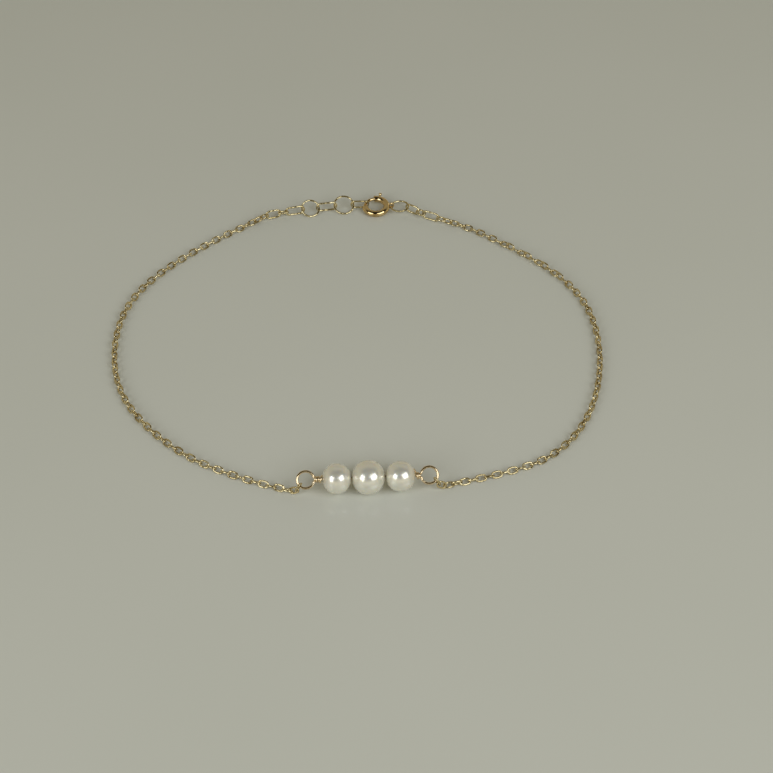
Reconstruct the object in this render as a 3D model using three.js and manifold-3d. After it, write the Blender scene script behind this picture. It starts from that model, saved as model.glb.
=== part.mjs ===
// A dainty pearl bracelet, closed and lying on the surface z = 0. Millimetres, +Z up, pearls in front at -Y.
// Three drilled pearls sit on a wire bar. A fine cable chain leaves each of its eye loops, and behind them an
// extender of oval links and round rings is closed by a spring ring clasp.
import * as THREE from "three";
import { mergeVertices } from "three/addons/utils/BufferGeometryUtils.js";
import Module from "manifold-3d";

const wasm = await Module();
wasm.setup();

// The closed bracelet as it lies
const LOOP_WIDTH = 65.8; // between the middles of its two chains
const LOOP_DEPTH = 60.4; // from the bar's middle to the clasp's
const LOOP_Y = -0.3; // halfway between those two
const BAR_X = 1.75; // the middle of the centre pearl
const CLASP_X = 2.45; // the middle of the clasp

// Clearances between loose pieces
const HOOK_PLAY = 0.07; // left between two wires that hook into each other
const DRILL_PLAY = 0.05; // round the bar inside a pearl's drilled hole
const PEARL_GAP = 0.06; // between neighbours threaded on the bar
const BOLT_PLAY = 0.08; // round the bolt inside the clasp's tube, and round the stem in its slot

// Pearls, each a little shorter along the bar than it is across, and the bar that carries them
const CENTRE_PEARL = 4.4; // diameter across the bar
const CENTRE_PEARL_LENGTH = 4.2;
const SIDE_PEARL = 3.9; // diameter across the bar
const LEFT_PEARL_LENGTH = 3.65;
const RIGHT_PEARL_LENGTH = 3.75;
const BAR_WIRE = 0.32;
const LOOP_OUTER = 2.46;
const LOOP_TILT = 47; // degrees from flat, facing forwards and up
const WRAP_TURNS_LEFT = 3;
const WRAP_TURNS_RIGHT = 2;
const BAR_HEADING = 3.3; // degrees
const LEFT_HOOK_ANGLE = 221; // degrees round each eye loop, where the chain's end link hooks in
const RIGHT_HOOK_ANGLE = -37;

// Fine cable chain
const CHAIN_WIRE = 0.25;
const CHAIN_WIDTH = 1.05;
const CHAIN_PITCH = 1.08;
const LINK_BITE = 0.04; // how far two fused links of one chain sink into each other
const END_LINKS = 3; // real links before the plain tube starts
const LANDING = 0.75; // how far from its eye loop the chain reaches the surface
const END_LINK_TURN = 80; // degrees that each of these links is rolled from the one before

// Oval links, small links and rings of the extender
const EXTENDER_WIRE = 0.26;
const OVAL_LENGTH = 3;
const LONG_OVAL_LENGTH = 3.2;
const MIDDLE_OVAL_LENGTH = 2.8;
const SHORT_OVAL_LENGTH = 2.45;
const OVAL_WIDTH = 1.5;
const SMALL_LINK_LENGTH = 1.7;
const RING_1_OUTER = 2.8;
const RING_2_OUTER = 3.1;
const JUMP_RING_OUTER = 2.85;
const HOOK_HEIGHT = 0.8; // where the extender's pieces hook into each other
const CHAIN_HOOK_HEIGHT = 0.76; // where the chain's last link hooks in

// Spring ring clasp
const CLASP_OUTER = 4.13;
const CLASP_TUBE = 0.95;
const CLASP_TILT = 8; // degrees, its rear edge raised
const BOLT_WIRE = 0.45;
const TUBE_START = 187; // degrees, where the tube's mouth takes the bolt's tip
const TUBE_END = 460; // degrees, where the bolt comes out
const BOLT_TAIL = 42; // degrees, the bolt's inner end
const BOLT_SEAT = 8; // degrees that the closed bolt reaches into the mouth
const HANG_ANGLE = 160; // degrees, where the oval link hangs on the bolt
const KNOB_ANGLE = 76;
const KNOB_STROKE = 42; // degrees that the knob is drawn back
const KNOB_STAND = 0.58; // from the tube's outside to the knob's middle
const KNOB_DIAMETER = 0.52;
const STEM_DIAMETER = 0.3;
const EYE_ANGLE = 5;
const EYE_OUTER = 1.1;
const EYE_WIRE = 0.26;

// Facets
const RING_SIDES = 14;
const OVAL_SIDES = 10;
const WIRE_SIDES = 6;
const PEARL_SIDES = 16;
const TUBE_SIDES = 10;
const CHAIN_TUBE_SIDES = 8;
const CHAIN_STEP = 2.3; // length of one step of the chain's tube
const ARC_STEP = 12; // degrees for each step of the clasp's arcs
const WRAP_STEPS = 10; // steps in a turn of the wrapped wire
const ROUTE_DIVISIONS = 2000; // for measuring along a route

// The chosen route of each chain over the surface, from the pearls to the clasp: x as a share of half the loop's
// width, and y of half its depth
const LEFT_ROUTE = [
  [-0.3578, -0.9854],
  [-0.4948, -0.9185],
  [-0.6246, -0.8364],
  [-0.7383, -0.7301],
  [-0.8368, -0.6066],
  [-0.917, -0.4685],
  [-0.9699, -0.3159],
  [-0.9954, -0.1546],
  [-0.9997, 0.0086],
  [-0.9805, 0.1709],
  [-0.931, 0.3248],
  [-0.852, 0.4639],
  [-0.7556, 0.5894],
  [-0.6492, 0.7046],
  [-0.5353, 0.8109],
];
const RIGHT_ROUTE = [
  [0.4757, -0.9543],
  [0.6149, -0.901],
  [0.7447, -0.8255],
  [0.8462, -0.7096],
  [0.9173, -0.5689],
  [0.9638, -0.4166],
  [0.9903, -0.2586],
  [1.0006, -0.098],
  [0.9942, 0.0626],
  [0.9663, 0.2202],
  [0.9088, 0.3679],
  [0.8231, 0.4987],
  [0.721, 0.6142],
  [0.6094, 0.7199],
  [0.4927, 0.8182],
];

const UP = new THREE.Vector3(0, 0, 1);
const gold = new THREE.MeshStandardMaterial({ color: 0xd9b25f, metalness: 1, roughness: 0.22 });
const nacre = new THREE.MeshStandardMaterial({ color: 0xf1ece2, metalness: 0, roughness: 0.3 });

const bracelet = new THREE.Group();

// Adds a named mesh to a group.
function addPiece(name, geometry, material, group = bracelet) {
  const mesh = new THREE.Mesh(geometry, material);
  mesh.name = name;
  group.add(mesh);
  return mesh;
}

// Turns a closed geometry into a solid for joining and cutting.
function toSolid(geometry) {
  const bare = geometry.index ? geometry.toNonIndexed() : geometry.clone();
  bare.deleteAttribute("normal");
  bare.deleteAttribute("uv");
  const merged = mergeVertices(bare, 1e-4);
  return new wasm.Manifold(
    new wasm.Mesh({
      numProp: 3,
      vertProperties: new Float32Array(merged.attributes.position.array),
      triVerts: new Uint32Array(merged.index.array),
    }),
  );
}

// Turns a solid back into a geometry.
function toGeometry(solid) {
  const mesh = solid.getMesh();
  const geometry = new THREE.BufferGeometry();
  geometry.setAttribute("position", new THREE.BufferAttribute(new Float32Array(mesh.vertProperties), 3));
  geometry.setIndex(new THREE.BufferAttribute(new Uint32Array(mesh.triVerts), 1));
  geometry.computeVertexNormals();
  return geometry;
}

// Joins closed geometries into one.
function join(geometries) {
  const joined = geometries.map(toSolid).reduce((whole, piece) => whole.add(piece));
  return toGeometry(joined);
}

// A regular polygon that stands for a round wire or bore.
function roundPoints(diameter, sides) {
  const points = [];
  for (let i = 0; i < sides; i += 1) {
    const angle = ((i + 0.5) / sides) * 2 * Math.PI;
    points.push(new THREE.Vector2(Math.cos(angle), Math.sin(angle)).multiplyScalar(diameter / 2));
  }
  return points;
}

// Sweeps a shape along a curve into a closed solid.
function sweep(shape, curve, steps) {
  return new THREE.ExtrudeGeometry(shape, { steps, extrudePath: curve, bevelEnabled: false });
}

// A closed ring of wire: a torus pulled apart along x by the straight part of its sides.
function linkGeometry(length, width, wire, sides) {
  const radius = (width - wire) / 2;
  const geometry = new THREE.TorusGeometry(radius, wire / 2, WIRE_SIDES, sides);
  const positions = geometry.attributes.position;
  for (let i = 0; i < positions.count; i += 1) {
    const x = positions.getX(i);
    positions.setX(i, x + (Math.sign(x) * (length - width)) / 2);
  }
  return geometry;
}

// Distance between the middles of two wires that hook into each other.
function hookDistance(wireA, wireB) {
  return (wireA + wireB) / 2 + HOOK_PLAY;
}

// The matrix that lays a link's length from one point to another, its width across the given wire direction.
function frameAcross(from, to, wireDirection) {
  const along = to.clone().sub(from).normalize();
  const normal = wireDirection.clone().addScaledVector(along, -wireDirection.dot(along)).normalize();
  const across = normal.clone().cross(along);
  const matrix = new THREE.Matrix4().makeBasis(along, across, normal);
  return matrix.setPosition(from.clone().add(to).multiplyScalar(0.5));
}

// The same with its plane rolled about its length, by degrees from lying flat.
function frameRolled(from, to, roll) {
  const along = to.clone().sub(from).normalize();
  const normal = UP.clone().applyAxisAngle(along, THREE.MathUtils.degToRad(roll));
  return frameAcross(from, to, normal);
}

// Roll at which the lower side of a link, hooked at this height, meets the surface.
function restingRoll(height, width, wire) {
  const reach = (height - wire / 2) / ((width - wire) / 2);
  return THREE.MathUtils.radToDeg(Math.asin(Math.min(1, reach)));
}

// An arc in the clasp's own plane, by degrees.
class ClaspArc extends THREE.Curve {
  constructor(start, end) {
    super();
    this.start = start;
    this.end = end;
  }
  getPoint(t, target = new THREE.Vector3()) {
    const angle = THREE.MathUtils.degToRad(THREE.MathUtils.lerp(this.start, this.end, t));
    return target.set(Math.cos(angle), Math.sin(angle), 0).multiplyScalar(claspRadius);
  }
}

// The wire wrapped in close turns round the bar, along x.
class WrapHelix extends THREE.Curve {
  constructor(start, turns) {
    super();
    this.start = start;
    this.turns = turns;
  }
  getPoint(t, target = new THREE.Vector3()) {
    const angle = t * this.turns * 2 * Math.PI;
    const radius = BAR_WIRE * 0.94;
    const x = this.start + BAR_WIRE * (0.5 + t * (this.turns - 1));
    return target.set(x, radius * Math.cos(angle), radius * Math.sin(angle));
  }
}

// One stretch of a chain's route, kept on or above the surface.
class RouteStretch extends THREE.Curve {
  constructor(route, from, to) {
    super();
    this.route = route;
    this.from = from;
    this.to = to;
  }
  getPoint(t, target = new THREE.Vector3()) {
    this.route.getPointAt(THREE.MathUtils.lerp(this.from, this.to, t), target);
    target.z = Math.max(target.z, CHAIN_WIDTH / 2);
    return target;
  }
}

// A drilled pearl, its hole and its length along x.
function pearlGeometry(diameter, length) {
  const radius = diameter / 2;
  const bore = BAR_WIRE / 2 + DRILL_PLAY;
  const mouth = Math.asin(bore / radius);
  const profile = [];
  const steps = PEARL_SIDES / 2;
  for (let i = 0; i <= steps; i += 1) {
    const angle = mouth + ((Math.PI - 2 * mouth) * i) / steps;
    profile.push(new THREE.Vector2(radius * Math.sin(angle), (-length / 2) * Math.cos(angle)));
  }
  profile.push(profile[0].clone());
  return new THREE.LatheGeometry(profile, PEARL_SIDES).rotateZ(-Math.PI / 2);
}

// Places along the bar, measured from the centre pearl's middle
const leftPearlPlace = -((CENTRE_PEARL_LENGTH + LEFT_PEARL_LENGTH) / 2 + PEARL_GAP);
const rightPearlPlace = (CENTRE_PEARL_LENGTH + RIGHT_PEARL_LENGTH) / 2 + PEARL_GAP;
const leftWrapStart = leftPearlPlace - LEFT_PEARL_LENGTH / 2 - PEARL_GAP - WRAP_TURNS_LEFT * BAR_WIRE;
const rightWrapStart = rightPearlPlace + RIGHT_PEARL_LENGTH / 2 + PEARL_GAP;
const barLoopRadius = (LOOP_OUTER - BAR_WIRE) / 2;
const leftLoopPlace = leftWrapStart - barLoopRadius;
const rightLoopPlace = rightWrapStart + WRAP_TURNS_RIGHT * BAR_WIRE + barLoopRadius;

// The wire bar: a straight core, wrapped at both ends, and an eye loop beyond each wrap.
function barGeometry() {
  const coreLength = rightLoopPlace - leftLoopPlace - 2 * barLoopRadius;
  const core = new THREE.CylinderGeometry(BAR_WIRE / 2, BAR_WIRE / 2, coreLength, WIRE_SIDES)
    .rotateZ(Math.PI / 2)
    .translate((rightLoopPlace + leftLoopPlace) / 2, 0, 0);
  const wireShape = new THREE.Shape(roundPoints(BAR_WIRE, WIRE_SIDES));
  const leftHelix = new WrapHelix(leftWrapStart, WRAP_TURNS_LEFT);
  const rightHelix = new WrapHelix(rightWrapStart, WRAP_TURNS_RIGHT);
  const leftWrap = sweep(wireShape, leftHelix, WRAP_TURNS_LEFT * WRAP_STEPS);
  const rightWrap = sweep(wireShape, rightHelix, WRAP_TURNS_RIGHT * WRAP_STEPS);
  const loops = [leftLoopPlace, rightLoopPlace].map((place) =>
    linkGeometry(LOOP_OUTER, LOOP_OUTER, BAR_WIRE, RING_SIDES)
      .rotateX(THREE.MathUtils.degToRad(LOOP_TILT))
      .translate(place, 0, 0),
  );
  return join([core, leftWrap, rightWrap, ...loops]);
}

const bar = new THREE.Group();
bar.position.set(BAR_X, LOOP_Y - LOOP_DEPTH / 2, CENTRE_PEARL / 2);
bar.rotation.z = THREE.MathUtils.degToRad(BAR_HEADING);
bracelet.add(bar);
addPiece("pearl_left", pearlGeometry(SIDE_PEARL, LEFT_PEARL_LENGTH), nacre, bar).position.x = leftPearlPlace;
addPiece("pearl_centre", pearlGeometry(CENTRE_PEARL, CENTRE_PEARL_LENGTH), nacre, bar);
addPiece("pearl_right", pearlGeometry(SIDE_PEARL, RIGHT_PEARL_LENGTH), nacre, bar).position.x = rightPearlPlace;
addPiece("bar_wire", barGeometry(), gold, bar);
bar.updateMatrixWorld(true);

// Where the chain hooks into an eye loop: the middle and the direction of the loop's wire there.
function loopHook(place, degrees) {
  const angle = THREE.MathUtils.degToRad(degrees);
  const tilt = new THREE.Matrix4().makeRotationX(THREE.MathUtils.degToRad(LOOP_TILT));
  const middle = new THREE.Vector3(Math.cos(angle), Math.sin(angle), 0).multiplyScalar(barLoopRadius);
  middle.applyMatrix4(tilt).setX(middle.x + place);
  const direction = new THREE.Vector3(-Math.sin(angle), Math.cos(angle), 0).transformDirection(tilt);
  return { middle: bar.localToWorld(middle), direction: direction.transformDirection(bar.matrixWorld), wire: BAR_WIRE };
}

// The clasp's own frame: its ring in the plane z = 0 round the origin.
const claspRadius = (CLASP_OUTER - CLASP_TUBE) / 2;
const boreDiameter = BOLT_WIRE + 2 * BOLT_PLAY;
const knobRadius = CLASP_OUTER / 2 + KNOB_STAND;
const clasp = new THREE.Group();
const claspTilt = THREE.MathUtils.degToRad(CLASP_TILT);
clasp.position.set(CLASP_X, LOOP_Y + LOOP_DEPTH / 2, CLASP_TUBE / 2 + claspRadius * Math.sin(claspTilt));
clasp.rotation.x = claspTilt;
bracelet.add(clasp);

function arcSteps(start, end) {
  return Math.ceil((end - start) / ARC_STEP);
}

// The hollow C-shaped tube, with a slot for the knob's stem and the soldered eye.
function claspBodyGeometry() {
  const section = new THREE.Shape(roundPoints(CLASP_TUBE, TUBE_SIDES));
  section.holes.push(new THREE.Path(roundPoints(boreDiameter, TUBE_SIDES)));
  const tube = sweep(section, new ClaspArc(TUBE_START, TUBE_END), arcSteps(TUBE_START, TUBE_END));
  const slotHalf = STEM_DIAMETER / 2 + BOLT_PLAY;
  const slotMargin = THREE.MathUtils.radToDeg(slotHalf / claspRadius);
  const slotStart = KNOB_ANGLE - KNOB_STROKE - slotMargin;
  const slotEnd = KNOB_ANGLE + slotMargin;
  const wall = new THREE.Shape([
    new THREE.Vector2(CLASP_TUBE, -slotHalf),
    new THREE.Vector2(CLASP_TUBE, slotHalf),
    new THREE.Vector2(0, slotHalf),
    new THREE.Vector2(0, -slotHalf),
  ]);
  const slot = sectorGeometry(wall, slotStart, slotEnd);
  const eyeRadius = (EYE_OUTER - EYE_WIRE) / 2;
  const eye = linkGeometry(EYE_OUTER, EYE_OUTER, EYE_WIRE, RING_SIDES)
    .rotateX(Math.PI / 2)
    .translate(eyeOuterReach - eyeRadius, 0, 0)
    .rotateZ(THREE.MathUtils.degToRad(EYE_ANGLE));
  const bore = sweep(
    new THREE.Shape(roundPoints(boreDiameter, TUBE_SIDES)),
    new ClaspArc(TUBE_START, TUBE_END),
    arcSteps(TUBE_START, TUBE_END),
  );
  const whole = toSolid(tube).add(toSolid(eye)).subtract(toSolid(bore)).subtract(toSolid(slot));
  return toGeometry(whole);
}

// A section given by radius from the arc's line and height, turned through an angle about the clasp's axis.
function sectorGeometry(shape, start, end) {
  const steps = arcSteps(start, end);
  const turned = new THREE.ExtrudeGeometry(shape, { steps, depth: 1, bevelEnabled: false });
  const positions = turned.attributes.position;
  for (let i = 0; i < positions.count; i += 1) {
    const angle = THREE.MathUtils.degToRad(THREE.MathUtils.lerp(end, start, positions.getZ(i)));
    const radius = claspRadius + positions.getX(i);
    positions.setXYZ(i, radius * Math.cos(angle), radius * Math.sin(angle), positions.getY(i));
  }
  return turned;
}

// The bolt, an arc of wire in the tube and across its gap, with a stem and a round thumb knob.
function claspTriggerGeometry() {
  const tip = TUBE_START + BOLT_SEAT;
  const bolt = sweep(
    new THREE.Shape(roundPoints(BOLT_WIRE, TUBE_SIDES)),
    new ClaspArc(BOLT_TAIL, tip),
    arcSteps(BOLT_TAIL, tip),
  );
  const knobTurn = THREE.MathUtils.degToRad(KNOB_ANGLE);
  const stemLength = knobRadius - claspRadius;
  const stem = new THREE.CylinderGeometry(STEM_DIAMETER / 2, STEM_DIAMETER / 2, stemLength, TUBE_SIDES)
    .rotateZ(-Math.PI / 2)
    .translate(claspRadius + stemLength / 2, 0, 0)
    .rotateZ(knobTurn);
  const knob = new THREE.SphereGeometry(KNOB_DIAMETER / 2, TUBE_SIDES, WIRE_SIDES)
    .translate(knobRadius, 0, 0)
    .rotateZ(knobTurn);
  return join([bolt, stem, knob]);
}

// The jump ring's wire runs just outside the tube, and the eye's outer wire just outside that.
const jumpWirePlace = CLASP_OUTER / 2 + HOOK_PLAY + EXTENDER_WIRE / 2;
const eyeOuterReach = jumpWirePlace + hookDistance(EXTENDER_WIRE, EYE_WIRE);
addPiece("clasp_body", claspBodyGeometry(), gold, clasp);
addPiece("clasp_trigger", claspTriggerGeometry(), gold, clasp);
clasp.updateMatrixWorld(true);

// A point of the clasp's plane, by angle and radius, in the bracelet's frame.
function claspPoint(angle, radius) {
  const turn = THREE.MathUtils.degToRad(angle);
  return clasp.localToWorld(new THREE.Vector3(radius * Math.cos(turn), radius * Math.sin(turn), 0));
}

// The extender's pieces in their order away from the clasp. Heading is in plan, away from the clasp.
// Where no roll is given, the piece tips until its lower side meets the surface.
const smallLink = { length: SMALL_LINK_LENGTH, width: CHAIN_WIDTH, wire: CHAIN_WIRE, sides: OVAL_SIDES };
const LEFT_ROW = [
  { name: "oval_link_4", size: oval(MIDDLE_OVAL_LENGTH), heading: 183, roll: 100 },
  { name: "extender_ring_2", size: round(RING_2_OUTER), heading: 187 },
  { name: "oval_link_3", size: oval(LONG_OVAL_LENGTH), heading: 190 },
  { name: "extender_ring_1", size: round(RING_1_OUTER), heading: 193 },
  { name: "oval_link_2", size: oval(OVAL_LENGTH), heading: 194 },
  { name: "small_link_1", size: smallLink, heading: 196, roll: -15 },
  { name: "oval_link_1", size: oval(SHORT_OVAL_LENGTH), heading: 197 },
];
const RIGHT_ROW = [
  { name: "jump_ring", size: round(JUMP_RING_OUTER), heading: -14, roll: 0 },
  { name: "oval_link_5", size: oval(SHORT_OVAL_LENGTH), heading: -33 },
  { name: "small_link_2", size: smallLink, heading: -39, roll: 15 },
  { name: "oval_link_6", size: oval(MIDDLE_OVAL_LENGTH), heading: -25 },
];

function oval(length) {
  return { length, width: OVAL_WIDTH, wire: EXTENDER_WIRE, sides: OVAL_SIDES };
}

function round(outer) {
  return { length: outer, width: outer, wire: EXTENDER_WIRE, sides: RING_SIDES };
}

// Hooks a row of links one into the next from a first hook point, and gives back the last link's far end.
function hookRow(row, start, startWire) {
  let hook = start;
  let hookGap = hookDistance(startWire, row[0].size.wire);
  const end = { middle: null, direction: new THREE.Vector3(), wire: EXTENDER_WIRE };
  row.forEach((piece, index) => {
    const { length, width, wire, sides } = piece.size;
    const last = index === row.length - 1;
    const nextWire = last ? CHAIN_WIRE : row[index + 1].size.wire;
    const nextGap = hookDistance(wire, nextWire);
    const advance = length - wire - (hookGap + nextGap) / 2;
    const heading = THREE.MathUtils.degToRad(piece.heading);
    const next = new THREE.Vector3(Math.cos(heading), Math.sin(heading), 0).multiplyScalar(advance).add(hook);
    next.z = last ? CHAIN_HOOK_HEIGHT : HOOK_HEIGHT;
    const toLeft = Math.cos(heading) < 0;
    const roll = piece.roll ?? restingRoll((hook.z + next.z) / 2, width, wire);
    const frame = frameRolled(hook, next, toLeft ? -roll : roll);
    const along = next.clone().sub(hook).normalize();
    const mesh = addPiece(piece.name, linkGeometry(length, width, wire, sides), gold);
    mesh.applyMatrix4(frame);
    mesh.position.addScaledVector(along, (nextGap - hookGap) / 4);
    end.middle = next.clone().addScaledVector(along, nextGap / 2);
    end.direction.setFromMatrixColumn(frame, 1);
    hook = next;
    hookGap = nextGap;
  });
  return end;
}

const boltHook = claspPoint(HANG_ANGLE, claspRadius - hookDistance(BOLT_WIRE, EXTENDER_WIRE) / 2);
const leftBack = hookRow(LEFT_ROW, boltHook, BOLT_WIRE);
const eyeHook = claspPoint(EYE_ANGLE, (jumpWirePlace + eyeOuterReach) / 2);
const rightBack = hookRow(RIGHT_ROW, eyeHook, EYE_WIRE);

// One side's chain: real links at both ends, and between them a plain tube of the chain's width.
function chainGeometry(front, routePoints, back) {
  const onSurface = routePoints.map(
    ([x, y]) => new THREE.Vector3((x * LOOP_WIDTH) / 2, (y * LOOP_DEPTH) / 2, CHAIN_WIDTH / 2),
  );
  const landing = onSurface[0].clone().sub(front.middle).setZ(0).setLength(LANDING).add(front.middle);
  landing.z = CHAIN_WIDTH / 2;
  const points = [front.middle, landing, ...onSurface, back.middle];
  const route = new THREE.CatmullRomCurve3(points, false, "centripetal");
  route.arcLengthDivisions = ROUTE_DIVISIONS;
  const length = route.getLength();
  const fromFront = new RouteStretch(route, 0, 1);
  const fromBack = new RouteStretch(route, 1, 0);
  const tubeInset = (END_LINKS - 0.5) * CHAIN_PITCH;
  const stretch = new RouteStretch(route, tubeInset / length, 1 - tubeInset / length);
  const steps = Math.ceil((length - 2 * tubeInset) / CHAIN_STEP);
  const acrossCorners = CHAIN_WIDTH / Math.cos(Math.PI / CHAIN_TUBE_SIDES);
  const tube = sweep(new THREE.Shape(roundPoints(acrossCorners, CHAIN_TUBE_SIDES)), stretch, steps);
  return join([tube, ...endLinks(fromFront, length, front), ...endLinks(fromBack, length, back)]);
}

// The real links at one end. The first hooks round the wire it is given, its plane square to that wire.
function endLinks(route, length, hooked) {
  const reach = hookDistance(hooked.wire, CHAIN_WIRE) - (CHAIN_WIRE - LINK_BITE) / 2;
  const links = [];
  const normal = hooked.direction.clone();
  let from = null;
  for (let i = 0; i < END_LINKS; i += 1) {
    const to = route.getPoint(((i + 1) * CHAIN_PITCH - reach) / length);
    const along = to.clone().sub(from ?? hooked.middle).normalize();
    from = from ?? hooked.middle.clone().addScaledVector(along, -reach);
    const linkLength = from.distanceTo(to) + 2 * CHAIN_WIRE - LINK_BITE;
    const link = linkGeometry(linkLength, CHAIN_WIDTH, CHAIN_WIRE, OVAL_SIDES);
    links.push(link.applyMatrix4(frameAcross(from, to, normal)));
    normal.applyAxisAngle(along, THREE.MathUtils.degToRad(END_LINK_TURN));
    from = to;
  }
  return links;
}

const leftFront = loopHook(leftLoopPlace, LEFT_HOOK_ANGLE);
const rightFront = loopHook(rightLoopPlace, RIGHT_HOOK_ANGLE);
addPiece("chain_left", chainGeometry(leftFront, LEFT_ROUTE, leftBack), gold);
addPiece("chain_right", chainGeometry(rightFront, RIGHT_ROUTE, rightBack), gold);

export default bracelet;
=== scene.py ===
import math

import bmesh
import bpy
from mathutils import Matrix, Quaternion, Vector, noise


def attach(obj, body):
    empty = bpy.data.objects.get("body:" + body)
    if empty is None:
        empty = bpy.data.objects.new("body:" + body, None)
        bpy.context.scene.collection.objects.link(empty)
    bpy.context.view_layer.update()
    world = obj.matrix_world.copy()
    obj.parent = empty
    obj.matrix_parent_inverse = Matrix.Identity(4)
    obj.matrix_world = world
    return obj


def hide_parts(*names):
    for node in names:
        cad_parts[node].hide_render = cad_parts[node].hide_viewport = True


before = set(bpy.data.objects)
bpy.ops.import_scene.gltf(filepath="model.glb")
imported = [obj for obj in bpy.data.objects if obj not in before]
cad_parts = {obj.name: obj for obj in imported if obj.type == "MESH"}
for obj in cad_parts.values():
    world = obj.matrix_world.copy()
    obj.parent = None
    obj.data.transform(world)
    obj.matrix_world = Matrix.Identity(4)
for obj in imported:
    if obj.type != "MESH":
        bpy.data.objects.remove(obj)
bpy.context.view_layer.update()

MM = 0.001
UP = Vector((0, 0, 1))

# The closed bracelet as it lies: its loop's size, the y of the loop's middle, and the x of what lies on it
LOOP_WIDTH = 65.8 * MM
LOOP_DEPTH = 60.4 * MM
LOOP_Y = -0.3 * MM
BAR_X = 1.75 * MM
CLASP_X = 2.45 * MM

# Clearances between loose pieces
HOOK_PLAY = 0.07 * MM
DRILL_PLAY = 0.05 * MM
PEARL_GAP = 0.06 * MM
BOLT_PLAY = 0.08 * MM

# Pearls, each a little shorter along the bar than it is across, and the bar that carries them
CENTRE_PEARL = 4.4 * MM
CENTRE_PEARL_LENGTH = 4.2 * MM
SIDE_PEARL = 3.9 * MM
LEFT_PEARL_LENGTH = 3.65 * MM
RIGHT_PEARL_LENGTH = 3.75 * MM
PEARL_DENT = 0.012  # how far a pearl's skin falls short of its smooth shape, as a share of its radius
DENT_SPACING = 1.3  # how closely the dents follow each other, more for more of them
PEARL_BLUNTNESS = 0.9  # 1 for an oval pearl, less for one with flatter ends
PEARL_TOUCH = 0.02 * MM  # what is left of the gap between neighbouring pearls, which touch in reality
HOLE_FLARE = 1.1  # the mouth of a pearl's drilled hole, as a share of the hole's width
FLARE_END = 0.9  # where the hole has its own width, as a share of half the pearl's length
BAR_WIRE = 0.32 * MM
BAR_HEADING = math.radians(3.3)
LOOP_OUTER = 2.46 * MM
LOOP_TILT = math.radians(47)  # how far an eye loop stands up from lying flat
NECK_ANGLE = 14  # degrees round the loop from the bar's line to where the wire leaves its circle
NECK_OVERLAP = 0.8 * BAR_WIRE  # how far the loop's wire runs on along the core
LEFT_HOOK_ANGLE = math.radians(221)  # where the chain hooks in, round the loop from the bar's line
RIGHT_HOOK_ANGLE = math.radians(-37)

# The wraps, the same wire turned back round the bar's core
WRAP_TURNS_LEFT = 3
WRAP_TURNS_RIGHT = 2
WRAP_WIRE = 0.29 * MM  # drawn thinner as it is pulled round the core
THINNED_FROM = 0.3 * BAR_WIRE  # how far past the neck the wire has its thinner width
FIRST_WRAP = 0.5 * WRAP_WIRE  # from the neck to the first turn's middle
LAST_WRAP = 0.4 * WRAP_WIRE  # from the pearl to the last turn's middle
WRAP_LEAN = 0.13 * MM  # how far the last turn's top leans towards the pearl, and its foot away from it
LAST_TURN_PROUD = 0.25  # how much further out the last turn stands, as a share
WRAP_TAIL = 0.7 * MM  # height of the cut end that is left standing
TAIL_LEAN = 0.12 * MM
TAIL_WIDTH = 0.48  # half the tail's width at its foot, as a share of the wraps' wire
TAIL_TAPER = 0.3  # how much of that it loses up to its tip
TAIL_CURVE = 0.6  # less for a tail that thins more at its foot

# Fine cable chain
CHAIN_WIRE = 0.25 * MM
CHAIN_WIDTH = 1.05 * MM
CHAIN_PITCH = 1.08 * MM
LINK_SLACK = 0.01 * MM
LINK_BELLY = 0.1  # stretch in the middle of a link's side that bows out, as a share of the half width
LANDING = 0.75 * MM  # in plan, from the eye loop's wire to where the chain is down
CHAIN_REST = 0.42 * MM  # height of a resting chain's middle line
REST_ROLL = math.radians(45)
LINK_TURN = math.radians(90)
LINK_WOBBLE = math.radians(7)
SETTLING_LINKS = 5.0  # links over which a chain's roll goes from hooked in to resting
CHAIN_TWIST = math.radians(-30)  # a link, along the twisted stretch
RIGHT_TWIST_FROM = 52
RIGHT_TWIST_LINKS = 12
LEFT_SEED = 4
RIGHT_SEED = 9

# Oval links, small links and rings of the extender
EXTENDER_WIRE = 0.26 * MM
OVAL_WIDTH = 1.5 * MM
OVAL = (3 * MM, OVAL_WIDTH, EXTENDER_WIRE)
LONG_OVAL = (3.2 * MM, OVAL_WIDTH, EXTENDER_WIRE)
MIDDLE_OVAL = (2.8 * MM, OVAL_WIDTH, EXTENDER_WIRE)
SHORT_OVAL = (2.45 * MM, OVAL_WIDTH, EXTENDER_WIRE)
SMALL_LINK = (1.7 * MM, CHAIN_WIDTH, CHAIN_WIRE)
RING_1 = (2.8 * MM, 2.8 * MM, EXTENDER_WIRE)
RING_2 = (3.1 * MM, 3.1 * MM, EXTENDER_WIRE)
JUMP_RING = (2.85 * MM, 2.85 * MM, EXTENDER_WIRE)
REST_PLAY = 0.01 * MM  # between a tipped link's lowest side and the surface
SEAM = 0.02 * MM
HOOK_HEIGHT = 0.8 * MM  # where two links of the extender hook into each other
CHAIN_HOOK_HEIGHT = 0.76 * MM  # where the chain hooks into its last link

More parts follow.
